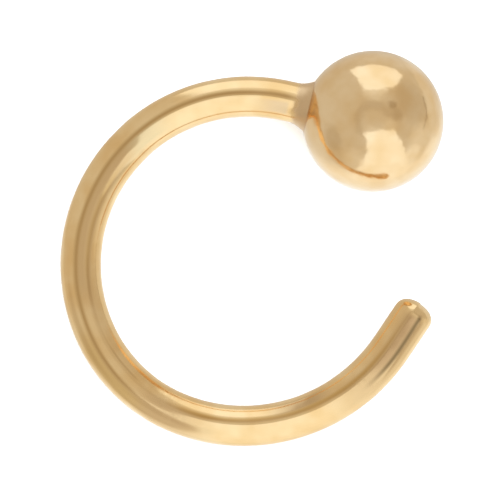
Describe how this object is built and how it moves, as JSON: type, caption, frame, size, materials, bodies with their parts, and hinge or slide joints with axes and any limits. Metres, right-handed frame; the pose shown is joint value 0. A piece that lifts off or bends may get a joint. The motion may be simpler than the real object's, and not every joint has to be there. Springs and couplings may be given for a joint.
{
  "type": "ball hoop earring",
  "caption": "Open hoop earring of round polished yellow-gold wire with a solid ball soldered to one end and a rounded free end that goes through the piercing.",
  "frame": {"origin": "on the surface that the earring lies on, under the middle of its box", "axes": "+Z up from that surface, the shortest extent; +Y towards the ball's side, the longest extent; +X towards the hoop's opening. Seen from above with +Y up, the ball is at the top right."},
  "size_m": [0.0108, 0.0112, 0.004],
  "materials": {
    "polished_gold": null
  },
  "bodies": {
    "root": {"ball_hoop": "polished_gold"}
  },
  "joints": []
}
